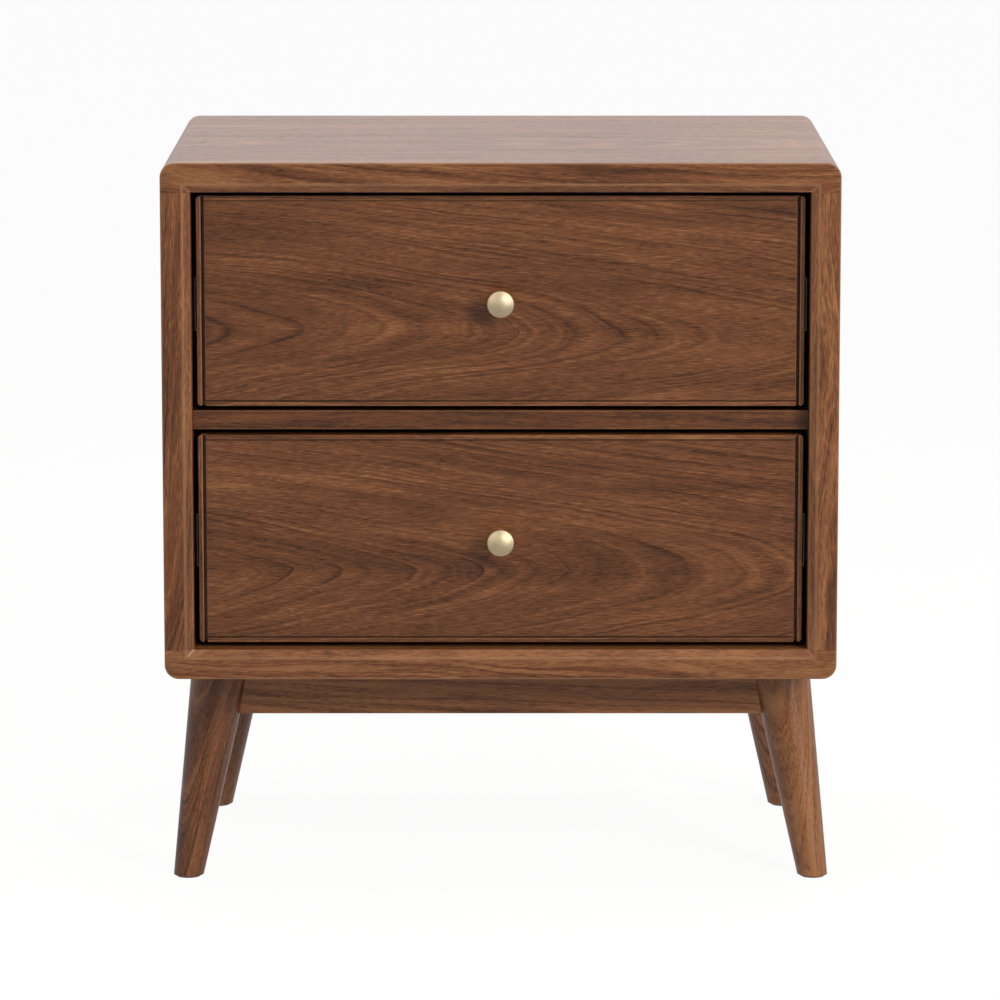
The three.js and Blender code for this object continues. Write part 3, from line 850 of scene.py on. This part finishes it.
LIGHTS = (
    # name, place, size, watts and tint
    ("key_right", (1.75, -2.4, 1.55), (1.1, 1.1), 62, (1.0, 0.98, 0.96)),
    ("fill_left", (-2.4, -2.4, 1.9), (1.8, 1.8), 9, (1.0, 0.99, 0.97)),
    ("overhead", (0.0, 0.2, 2.8), (2.0, 1.6), 34, (1.0, 0.98, 0.96)),
)

SOFTBOXES = (
    # where a softbox's soft edged reflection is seen, and how bright it is
    ((1.75, -2.4, 1.25), 3.4),
    ((-2.4, -2.4, 1.6), 0.6),
)

# How bright the studio looks to the camera, and the glow that every reflection of it has at least.
STUDIO_WHITE = 0.985
LEAST_REFLECTION = 0.38

# The floor's reach to each side in metres, how much light it returns and how brightly it glows.
FLOOR_REACH = 40
FLOOR_RETURN = 0.08
FLOOR_GLOW = 0.945

# The camera's sensor in millimetres, how far it sees in metres, and how far left of the middle it looks.
SENSOR_WIDTH = 36
VIEW_REACH = 100
AIM_LEFT = 0.5 * MM


def soft_light(name, place, target, size, power, tint):
    """A rectangular light that no gloss mirrors: the world's softboxes are mirrored instead."""
    data = bpy.data.lights.new(name, "AREA")
    data.shape = "RECTANGLE"
    data.size, data.size_y = size
    data.energy = power
    data.color = tint
    light = bpy.data.objects.new(name, data)
    light.location = place
    light.rotation_euler = (target - place).to_track_quat("-Z", "Y").to_euler()
    light.visible_glossy = False
    bpy.context.scene.collection.objects.link(light)


def studio_world():
    """White all round to the eye. What it reflects is whitest beyond the object and dimmer on the near side,
    and the light it sheds is soft and even."""
    world = bpy.data.worlds.new("studio")
    world.use_nodes = True
    tree = world.node_tree
    tree.nodes.clear()
    direction = add(tree, "ShaderNodeTexCoord").outputs["Generated"]
    parts = add(tree, "ShaderNodeSeparateXYZ", {0: direction})
    above = add(
        tree,
        "ShaderNodeMapRange",
        {"Value": parts.outputs[2], "From Min": -0.06, "From Max": 0.14, "To Min": 0.35},
    )
    beyond = add(
        tree,
        "ShaderNodeMapRange",
        {"Value": parts.outputs[1], "From Min": -0.85, "From Max": 0.0, "To Min": 0.15, "To Max": 0.72},
    )
    mirrored = add(tree, "ShaderNodeMath", {0: above, 1: beyond}, operation="MULTIPLY")
    mirrored = add(tree, "ShaderNodeMath", {0: mirrored, 1: LEAST_REFLECTION}, operation="ADD")
    for place, strength in SOFTBOXES:
        facing = add(
            tree,
            "ShaderNodeVectorMath",
            {0: direction, 1: tuple(Vector(place).normalized())},
            operation="DOT_PRODUCT",
        )
        patch = add(
            tree,
            "ShaderNodeMapRange",
            {"Value": facing.outputs["Value"], "From Min": 0.86, "From Max": 0.99, "To Max": strength},
            interpolation_type="SMOOTHSTEP",
        )
        mirrored = add(tree, "ShaderNodeMath", {0: mirrored, 1: patch}, operation="ADD")
    lit = add(
        tree,
        "ShaderNodeMapRange",
        {"Value": parts.outputs[2], "From Min": -0.5, "From Max": 0.5, "To Min": 0.55, "To Max": 0.3},
    )
    ray = add(tree, "ShaderNodeLightPath")
    shed = add(
        tree,
        "ShaderNodeMix",
        {0: ray.outputs["Is Glossy Ray"], 2: lit, 3: mirrored},
    )
    seen = add(tree, "ShaderNodeMix", {0: ray.outputs["Is Camera Ray"], 2: shed, 3: STUDIO_WHITE})
    sky = add(tree, "ShaderNodeBackground", {"Color": (1, 1, 1, 1), "Strength": seen})
    add(tree, "ShaderNodeOutputWorld", {"Surface": sky})
    bpy.context.scene.world = world


def pale_floor():
    """A white painted studio floor that glows enough to swallow all but the faintest shadows."""
    material, tree, surface = new_material("pale_floor")
    mottle = add(tree, "ShaderNodeTexNoise", {"Scale": 3.0, "Detail": 2.0})
    level = add(tree, "ShaderNodeMapRange", {"Value": mottle, "To Min": 0.97, "To Max": 1.0})
    tone = add(
        tree,
        "ShaderNodeMix",
        {0: level.outputs[0], 6: (0, 0, 0, 1), 7: scaled(palette().floor, FLOOR_RETURN)},
        data_type="RGBA",
    )
    tree.links.new(tone.outputs[2], surface.inputs["Base Color"])
    surface.inputs["Roughness"].default_value = 1.0
    surface.inputs["Specular IOR Level"].default_value = 0.0
    surface.inputs["Emission Color"].default_value = (1, 1, 1, 1)
    surface.inputs["Emission Strength"].default_value = FLOOR_GLOW
    return material


class NIGHTSTAND_OT_stage(bpy.types.Operator):
    """Set the floor, the soft studio light and the camera"""

    bl_idname = "nightstand.stage"
    bl_label = "Stage"

    def execute(self, context):
        scene = context.scene
        scene.view_settings.view_transform = "Standard"
        studio_world()
        self.lay_floor()
        middle = (CAD_BOX[0] + CAD_BOX[1]) / 2
        for name, place, size, watts, tint in LIGHTS:
            soft_light(name, Vector(place), middle, size, watts, tint)
        self.place_camera(scene)
        return {"FINISHED"}

    def lay_floor(self):
        """A floor that the object neither mirrors nor is lit by."""
        shape = bmesh.new()
        bmesh.ops.create_grid(shape, x_segments=1, y_segments=1, size=FLOOR_REACH)
        mesh = bpy.data.meshes.new("floor")
        shape.to_mesh(mesh)
        shape.free()
        mesh.materials.append(pale_floor())
        floor = bpy.data.objects.new("floor", mesh)
        floor.visible_glossy = False
        floor.visible_diffuse = False
        bpy.context.scene.collection.objects.link(floor)

    def place_camera(self, scene):
        """A camera in front of the case, looking down at it a little."""
        view = scene.nightstand_stage
        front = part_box("top_panel")[0].y
        data = bpy.data.cameras.new("camera")
        data.lens = view.lens / MM
        data.sensor_width = SENSOR_WIDTH
        data.clip_end = VIEW_REACH
        camera = bpy.data.objects.new("camera", data)
        camera.location = (-view.sideways, front - view.distance, view.height)
        target = Vector((-AIM_LEFT, front, view.aim))
        camera.rotation_euler = (target - camera.location).to_track_quat("-Z", "Y").to_euler()
        scene.collection.objects.link(camera)
        scene.camera = camera


class NIGHTSTAND_PT_panel(bpy.types.Panel):
    """Sizes and colours, and a button for each group of pieces"""

    bl_label = "Nightstand"
    bl_space_type = "VIEW_3D"
    bl_region_type = "UI"
    bl_category = "Nightstand"

    def draw(self, context):
        layout = self.layout
        for group_name in GROUPS:
            group = getattr(context.scene, group_name)
            box = layout.box()
            for name in group.__annotations__:
                box.prop(group, name)
        for operator in OPERATORS:
            layout.operator(operator.bl_idname)


GROUPS = {
    "nightstand_sizes": NightstandSizes,
    "nightstand_colours": NightstandColours,
    "nightstand_stage": NightstandStage,
}
OPERATORS = (
    NIGHTSTAND_OT_stage,
    NIGHTSTAND_OT_case,
    NIGHTSTAND_OT_drawer_fronts,
    NIGHTSTAND_OT_drawer_boxes,
    NIGHTSTAND_OT_knobs,
    NIGHTSTAND_OT_slides,
    NIGHTSTAND_OT_legs,
    NIGHTSTAND_OT_aprons,
)


def register():
    """Registers every class and hangs the settings on the scene."""
    for item in (*GROUPS.values(), *OPERATORS, NIGHTSTAND_PT_panel):
        bpy.utils.register_class(item)
    for name, group in GROUPS.items():
        setattr(bpy.types.Scene, name, PointerProperty(type=group))


def unregister():
    """Takes the settings off the scene and unregisters every class."""
    for name in GROUPS:
        delattr(bpy.types.Scene, name)
    for item in (NIGHTSTAND_PT_panel, *reversed(OPERATORS), *reversed(GROUPS.values())):
        bpy.utils.unregister_class(item)


def main():
    """Makes the stage and every piece."""
    register()
    for operator in OPERATORS:
        group, name = operator.bl_idname.split(".")
        getattr(getattr(bpy.ops, group), name)()


if __name__ == "__main__":
    main()
